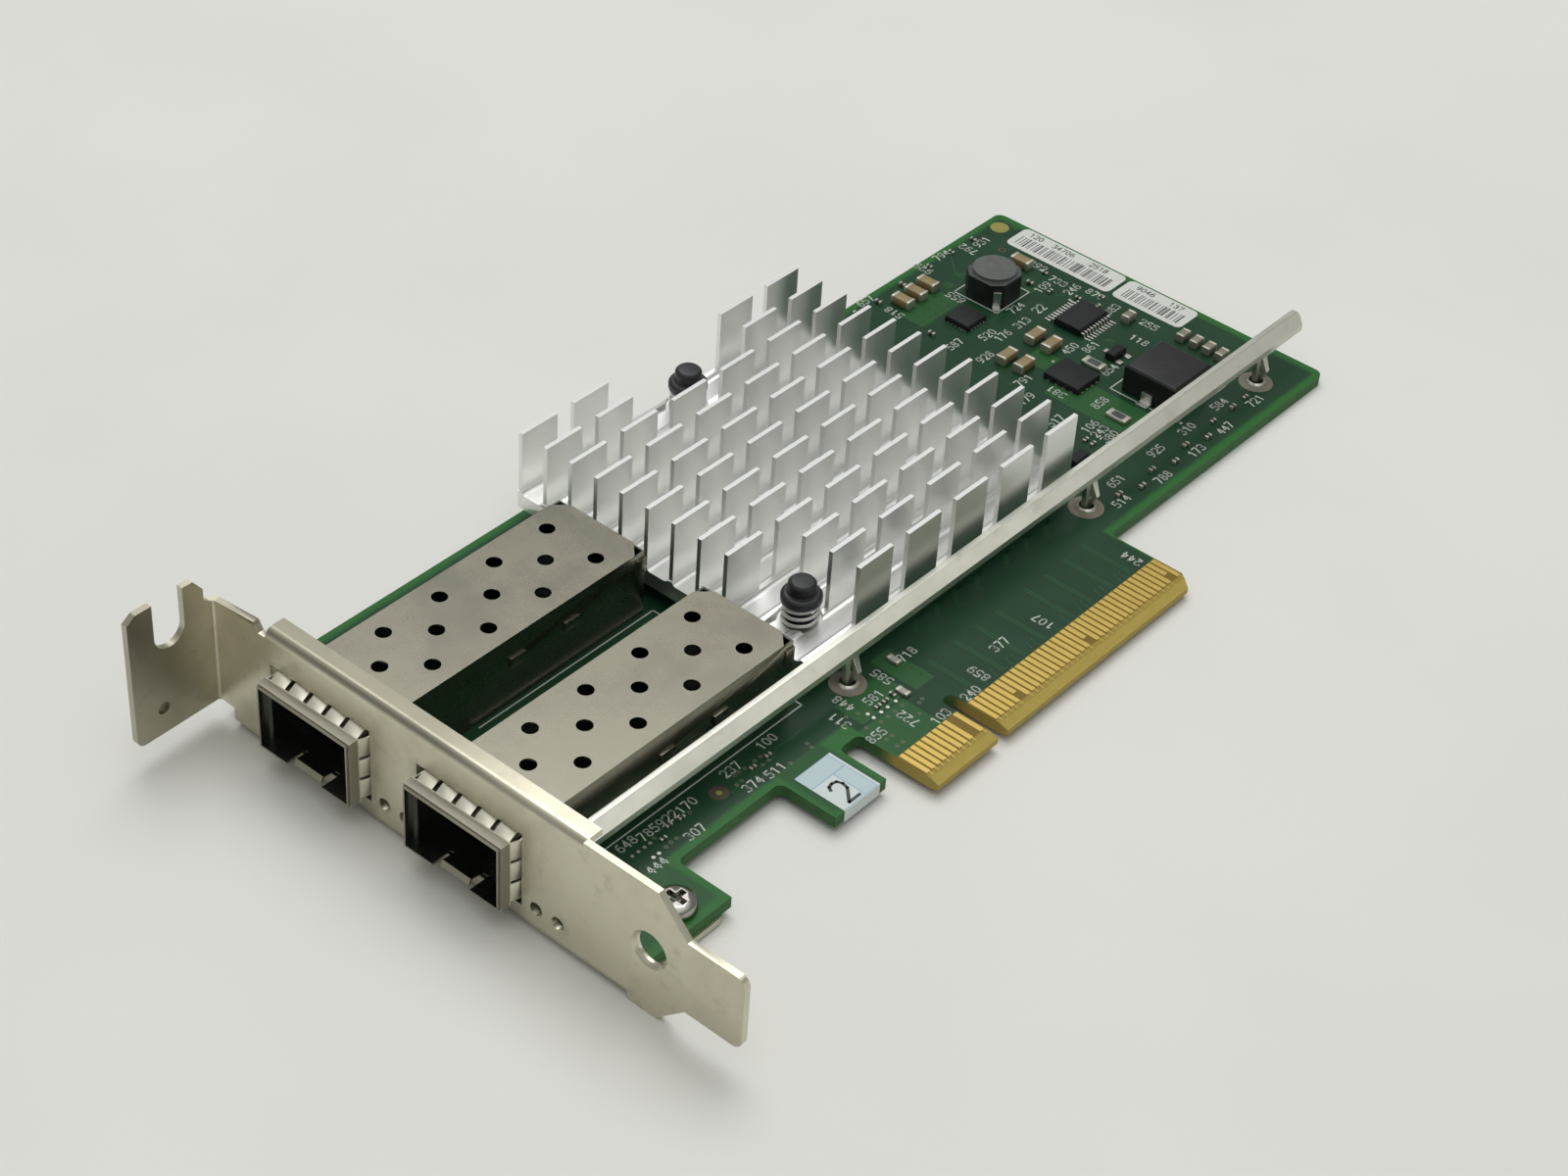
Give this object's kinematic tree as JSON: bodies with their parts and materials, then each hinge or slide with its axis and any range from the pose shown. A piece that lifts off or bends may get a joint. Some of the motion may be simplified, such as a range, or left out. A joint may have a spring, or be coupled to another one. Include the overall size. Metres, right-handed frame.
{
  "type": "network interface card",
  "caption": "Low-profile plug-in network card with card-edge contacts, slot bracket, module cages, pin-fin heatsink and stiffener rail.",
  "frame": {"origin": "middle of the key notch on the contact edge, at half the board's thickness", "axes": "+X from the slot bracket to the far end, +Y away from the contact edge up the card, +Z out of the component side"},
  "size_m": [0.1611, 0.081, 0.0219],
  "materials": {
    "solder_mask": "glossy green solder mask over glass laminate",
    "gold_contacts": "polished gold plate",
    "bracket_steel": "satin nickel plate with bright rolled edges",
    "screw_steel": "bright plated steel",
    "cage_metal": "matte nickel plate",
    "spring_metal": "bright nickel plate",
    "connector_plastic": "matte black moulding",
    "light_plastic": "milky lens",
    "heatsink_aluminium": "satin extrusion with sawn ends",
    "chip_lid": "moulded package",
    "thermal_pad": "soft grey pad",
    "pin_plastic": "black nylon",
    "spring_wire": "bright steel wire",
    "rail_steel": "satin tin plate",
    "solder": "solder",
    "ferrite": "dark ferrite",
    "tinned_lead": "tinned copper",
    "chip_resin": "moulded resin",
    "choke_resin": "moulded black resin",
    "tan_ceramic": "fired ceramic with tinned ends",
    "grey_ceramic": "fired ceramic with tinned ends",
    "small_ceramic": "fired ceramic with tinned ends",
    "resistor_film": "glazed film with tinned ends",
    "label_paper": "white label stock",
    "sticker_paper": "white sticker with blue ruling"
  },
  "bodies": {
    "root": {"circuit_board": "solder_mask", "edge_contacts_front": "gold_contacts", "edge_contacts_back": "gold_contacts", "slot_bracket": "bracket_steel", "bracket_screws": "screw_steel", "port_cage_upper": "cage_metal", "port_cage_lower": "cage_metal", "spring_collar_upper": "spring_metal", "spring_collar_lower": "spring_metal", "module_connector_upper": "connector_plastic", "module_connector_lower": "connector_plastic", "status_lights": "light_plastic", "heatsink": "heatsink_aluminium", "controller_chip": "chip_lid", "thermal_pad": "thermal_pad", "push_pins": "pin_plastic", "push_pin_springs": "spring_wire", "stiffener_rail": "rail_steel", "rail_solder": "solder", "power_inductor": "ferrite", "inductor_lead": "tinned_lead", "regulator_chip": "chip_resin", "memory_chip": "chip_resin", "small_regulator": "chip_resin", "logic_chip": "chip_resin", "logic_chip_leads": "tinned_lead", "transistor": "chip_resin", "choke_module": "choke_resin", "choke_leads": "tinned_lead", "large_capacitors": "tan_ceramic", "grey_capacitors": "grey_ceramic", "small_capacitors": "small_ceramic", "chip_resistors": "resistor_film", "bar_labels": "label_paper", "hook_sticker": "sticker_paper"}
  },
  "joints": []
}
